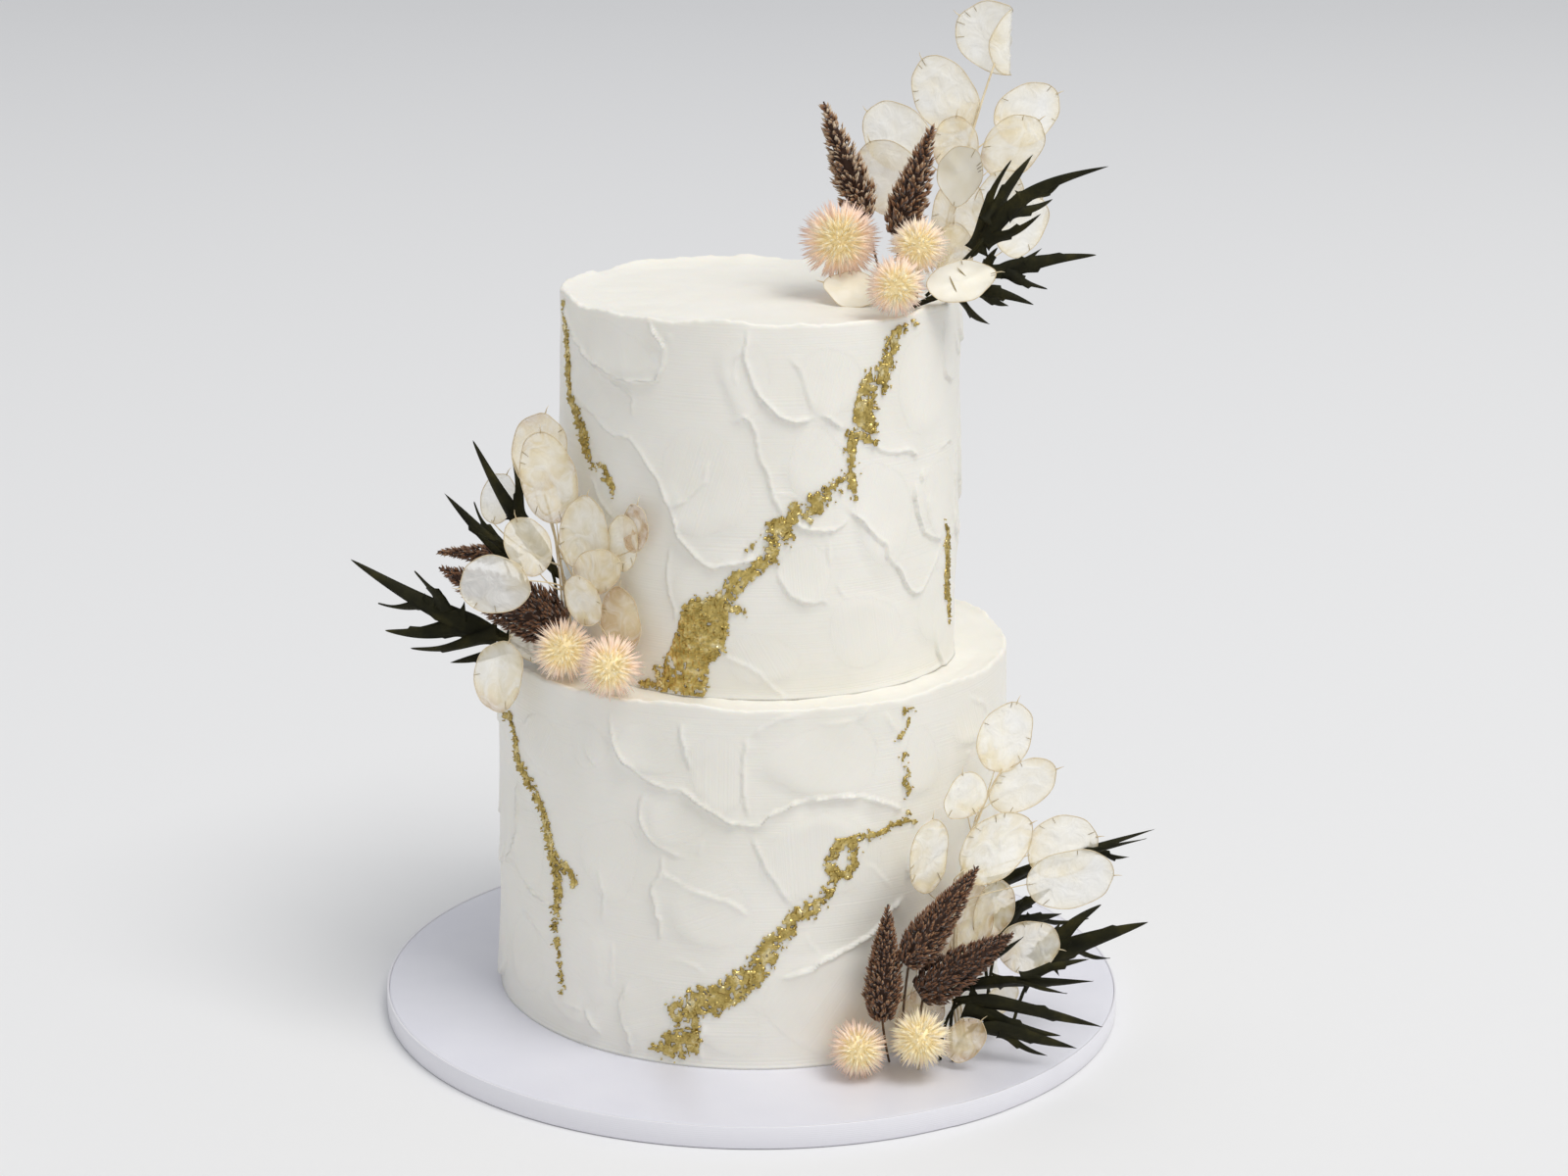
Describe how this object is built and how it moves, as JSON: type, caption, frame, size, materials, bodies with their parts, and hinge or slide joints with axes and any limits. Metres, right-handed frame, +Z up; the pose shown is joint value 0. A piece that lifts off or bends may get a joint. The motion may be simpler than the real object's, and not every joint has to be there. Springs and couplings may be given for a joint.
{
  "type": "tiered wedding cake",
  "caption": "Tiered buttercream wedding cake on its round drum board, with palette-knife icing, gold leaf veins and sprays of dried flowers.",
  "frame": {"origin": "centre of the drum board's underside", "axes": "+Z up from the board through the tiers, -Y towards the front of the cake"},
  "size_m": [0.324, 0.3048, 0.4073],
  "materials": {
    "buttercream": "soft satin",
    "drum_board": "satin foil paper",
    "drum_trim": "satin",
    "seed_pods": "pearly, translucent",
    "globe_flowers": "matte",
    "plumes": "matte, bristly",
    "fronds": "matte"
  },
  "bodies": {
    "root": {"cake_drum": "drum_board", "drum_ribbon": "drum_trim", "bottom_tier": "buttercream", "top_tier": "buttercream", "top_pods": "seed_pods", "left_pods": "seed_pods", "right_pods": "seed_pods", "top_loose_pod_1": "seed_pods", "top_loose_pod_2": "seed_pods", "left_loose_pod_1": "seed_pods", "left_loose_pod_2": "seed_pods", "right_loose_pod_1": "seed_pods", "right_loose_pod_2": "seed_pods", "right_loose_pod_3": "seed_pods", "right_loose_pod_4": "seed_pods", "top_globe_1": "globe_flowers", "top_globe_2": "globe_flowers", "top_globe_3": "globe_flowers", "left_globe_1": "globe_flowers", "left_globe_2": "globe_flowers", "right_globe_1": "globe_flowers", "right_globe_2": "globe_flowers", "top_plume_1": "plumes", "top_plume_2": "plumes", "left_plume_1": "plumes", "left_plume_2": "plumes", "right_plume_1": "plumes", "right_plume_2": "plumes", "right_plume_3": "plumes", "top_frond_1": "fronds", "top_frond_2": "fronds", "top_frond_3": "fronds", "left_frond_1": "fronds", "left_frond_2": "fronds", "left_frond_3": "fronds", "right_frond_1": "fronds", "right_frond_2": "fronds", "right_frond_3": "fronds", "right_frond_4": "fronds", "right_frond_5": "fronds", "right_frond_6": "fronds"}
  },
  "joints": []
}
